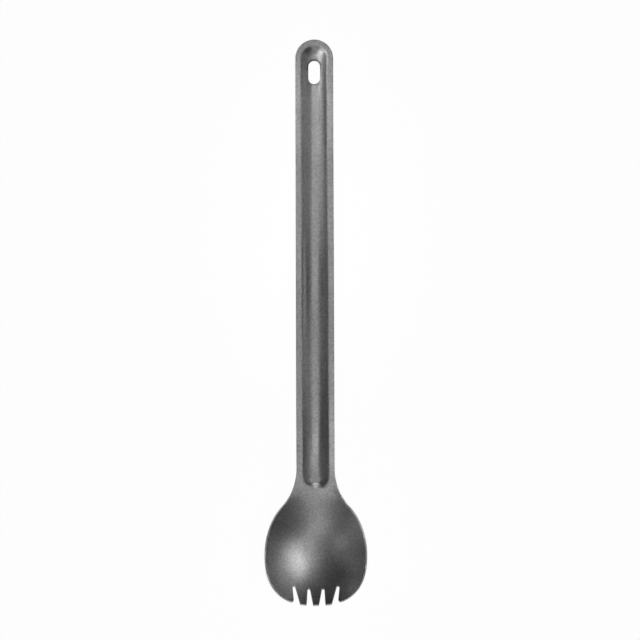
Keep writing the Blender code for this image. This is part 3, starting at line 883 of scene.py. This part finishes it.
def titanium(finish):
    """Bead-blasted titanium: dull grey with pits from the beads, faint clouds where the blast
    fell more or less evenly, an outer edge that is rubbed a little brighter and smoother, and
    painted shade, a near black, along the slot's rounded edge."""
    material = bpy.data.materials.new("blasted_titanium")
    material.use_nodes = True
    tree = material.node_tree
    links, surface = tree.links, tree.nodes["Principled BSDF"]
    surface.inputs["Metallic"].default_value = 1.0
    place = add_node(tree, "ShaderNodeTexCoord", (-1500, 0)).outputs["Object"]
    clouds = noise(tree, place, (-1300, 200), finish.cloud_size, CLOUD_DETAIL)
    grain = noise(tree, place, (-1300, 0), finish.grain_size, GRAIN_DETAIL)
    pits = noise(tree, place, (-1300, -400), finish.pit_size, PIT_DETAIL)
    rim = point_share(tree, "rim", (-1300, 500))
    # The "cut" share says how much painted shade lies on the slot's edge.
    cut = point_share(tree, "cut", (-1300, 700))
    patchy = ranged(tree, clouds, (-1100, 400), finish.least_rubbed, 1.0)
    rubbed = joined_values(tree, "MULTIPLY", patchy, rim, (-900, 600))
    cloudy = ranged(tree, clouds, (-1100, 200), 1 - finish.cloudy, 1 + finish.cloudy)
    grainy = ranged(tree, grain, (-1100, 0), 1 - finish.speckled, 1 + finish.speckled)
    shade = joined_values(tree, "MULTIPLY", cloudy, grainy, (-900, 100))
    colour = mixed(tree, rubbed, finish.colour, finish.edge_colour, (-900, 400))
    # Painted shade: the slot's rounded edge darkened towards a near black, most towards the
    # handle's end.
    colour = mixed(tree, cut, colour, finish.slot_shade_colour, (-700, 400))
    shaded = add_node(tree, "ShaderNodeVectorMath", (-500, 300))
    shaded.operation = "SCALE"
    links.new(colour, shaded.inputs[0])
    links.new(shade, shaded.inputs["Scale"])
    links.new(shaded.outputs["Vector"], surface.inputs["Base Color"])
    roughest, smoothest = finish.roughness + finish.uneven, finish.roughness - finish.uneven
    rough = ranged(tree, clouds, (-700, 0), roughest, smoothest)
    gain = finish.roughness - finish.edge_roughness
    polish = ranged(tree, rubbed, (-700, -200), 0.0, gain, WHOLE_SPAN)
    roughness = joined_values(tree, "SUBTRACT", rough, polish, (-400, -100))
    links.new(roughness, surface.inputs["Roughness"])
    bump = add_node(tree, "ShaderNodeBump", (-400, -400), Strength=finish.pit_strength)
    bump.inputs["Distance"].default_value = finish.pit_depth
    links.new(pits, bump.inputs["Height"])
    links.new(bump.outputs["Normal"], surface.inputs["Normal"])
    return material


def white_table(studio):
    """The table's white: mostly its own, as the camera and shiny things see it, with a little
    that depends on the light, so that the spork's shadow stays."""
    material = bpy.data.materials.new("white_table")
    material.use_nodes = True
    tree = material.node_tree
    tree.nodes.remove(tree.nodes["Principled BSDF"])
    colour = (*studio.table_colour, 1.0)
    lit = add_node(tree, "ShaderNodeBsdfDiffuse", (-200, 0), Color=colour)
    glow = add_node(tree, "ShaderNodeEmission", (-200, -200), Strength=1.0)
    rays = add_node(tree, "ShaderNodeLightPath", (-900, 200)).outputs
    seen = joined_values(
        tree, "MAXIMUM", rays["Is Camera Ray"], rays["Is Glossy Ray"], (-700, 200)
    )
    seen = joined_values(tree, "MAXIMUM", seen, rays["Is Transmission Ray"], (-500, 200))
    own = ranged(tree, seen, (-300, 300), 0.0, studio.table_glow, WHOLE_SPAN)
    both = add_node(tree, "ShaderNodeMixShader", (0, 0))
    tree.links.new(own, both.inputs[0])
    tree.links.new(lit.outputs[0], both.inputs[1])
    tree.links.new(glow.outputs[0], both.inputs[2])
    tree.links.new(both.outputs[0], tree.nodes["Material Output"].inputs["Surface"])
    return material


def add_table(context, studio):
    """The table under the spork."""
    reach, z = studio.table_reach, -studio.table_gap
    corners = [(-reach, -reach, z), (reach, -reach, z), (reach, reach, z), (-reach, reach, z)]
    mesh = bpy.data.meshes.new("table_top")
    mesh.from_pydata(corners, [], [(0, 1, 2, 3)])
    mesh.materials.append(white_table(studio))
    table = add_object(context, "table_top", mesh)


def add_lamp(context, studio, number, pool, azimuth, elevation, watts):
    """A lamp on a sphere round the place that it is aimed at: a round soft lamp, or a spot whose
    pool of light fades from its middle to its edge."""
    place, reach, distance, radius = POOLS[pool]
    name = f"lamp_{number:02d}_{pool}"
    lamp = bpy.data.lights.new(name, "SPOT" if reach else "AREA")
    lamp.energy = watts * studio.power
    if reach:
        lamp.spot_size = 2 * math.atan(reach / distance)
        lamp.spot_blend = 1.0
        lamp.shadow_soft_size = radius * MM
    else:
        lamp.shape = "DISK"
        lamp.size = 2 * radius * MM
    aimed_at = Vector(place) * MM
    a, e = math.radians(azimuth), math.radians(elevation)
    away = Vector((math.cos(e) * math.cos(a), math.cos(e) * math.sin(a), math.sin(e)))
    lamp_object = bpy.data.objects.new(name, lamp)
    lamp_object.location = aimed_at + away * distance * MM
    lamp_object.rotation_euler = away.to_track_quat("Z", "Y").to_euler()
    lamp_object.visible_camera = False
    context.scene.collection.objects.link(lamp_object)


def add_camera(context, studio):
    """The camera straight above the spork, its view's width measured at the flange."""
    camera = bpy.data.cameras.new("camera")
    camera.sensor_width = 36.0
    height = studio.camera_height - studio.flange_height
    camera.lens = camera.sensor_width * height / studio.view_width
    camera_object = bpy.data.objects.new("camera", camera)
    camera_object.location = (studio.camera_x, studio.camera_y, studio.camera_height)
    camera_object.rotation_euler = (0.0, 0.0, studio.camera_turn)
    context.scene.collection.objects.link(camera_object)
    context.scene.camera = camera_object


class SPORK_OT_pressed_body(bpy.types.Operator):
    """Build the spork's one piece of pressed titanium sheet"""

    bl_idname = "spork.pressed_body"
    bl_label = "Pressed Body"

    def execute(self, context):
        groups = sizes(context)
        points, faces, shares = pressed_sheet(Form(groups))
        body = add_object(context, "pressed_body", mesh_from("pressed_body", points, faces))
        for name, values in shares.items():
            body.data.attributes.new(name, "FLOAT", "POINT").data.foreach_set("value", values)
        body.data.materials.append(titanium(groups["finish"]))
        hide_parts("spork")
        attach(body, "root")
        return {"FINISHED"}


class SPORK_OT_studio(bpy.types.Operator):
    """Set up the white table, the lamps and the camera"""

    bl_idname = "spork.studio"
    bl_label = "Studio"

    def execute(self, context):
        scene, studio = context.scene, sizes(context)["studio"]
        scene.view_settings.view_transform = "Standard"
        scene.world = bpy.data.worlds.new("studio")
        scene.world.use_nodes = True
        air = scene.world.node_tree.nodes["Background"]
        air.inputs["Color"].default_value = (1.0, 1.0, 1.0, 1.0)
        air.inputs["Strength"].default_value = studio.air
        add_table(context, studio)
        for number, lamp in enumerate(LAMPS, 1):
            add_lamp(context, studio, number, *lamp)
        add_camera(context, studio)
        return {"FINISHED"}


class SPORK_PT_sidebar(bpy.types.Panel):
    bl_label = "Long-handled spork"
    bl_idname = "SPORK_PT_sidebar"
    bl_space_type = "VIEW_3D"
    bl_region_type = "UI"
    bl_category = "Spork"

    def draw(self, context):
        for name in GROUPS:
            box = self.layout.box()
            box.label(text=name.removeprefix("spork_").replace("_", " ").capitalize())
            group = getattr(context.scene, name)
            for key in group.bl_rna.properties.keys():
                if key not in ("rna_type", "name"):
                    box.prop(group, key)
        for operator in (SPORK_OT_pressed_body, SPORK_OT_studio):
            self.layout.operator(operator.bl_idname)


CLASSES = [*GROUPS.values(), SPORK_OT_pressed_body, SPORK_OT_studio, SPORK_PT_sidebar]


def register():
    """Make the classes and the groups of sizes known."""
    for each in CLASSES:
        bpy.utils.register_class(each)
    for name, group in GROUPS.items():
        setattr(bpy.types.Scene, name, bpy.props.PointerProperty(type=group))


def unregister():
    """Take them out again."""
    for name in GROUPS:
        delattr(bpy.types.Scene, name)
    for each in reversed(CLASSES):
        bpy.utils.unregister_class(each)


def main():
    """Build the spork and its studio."""
    register()
    bpy.ops.spork.pressed_body()
    bpy.ops.spork.studio()


if __name__ == "__main__":
    main()
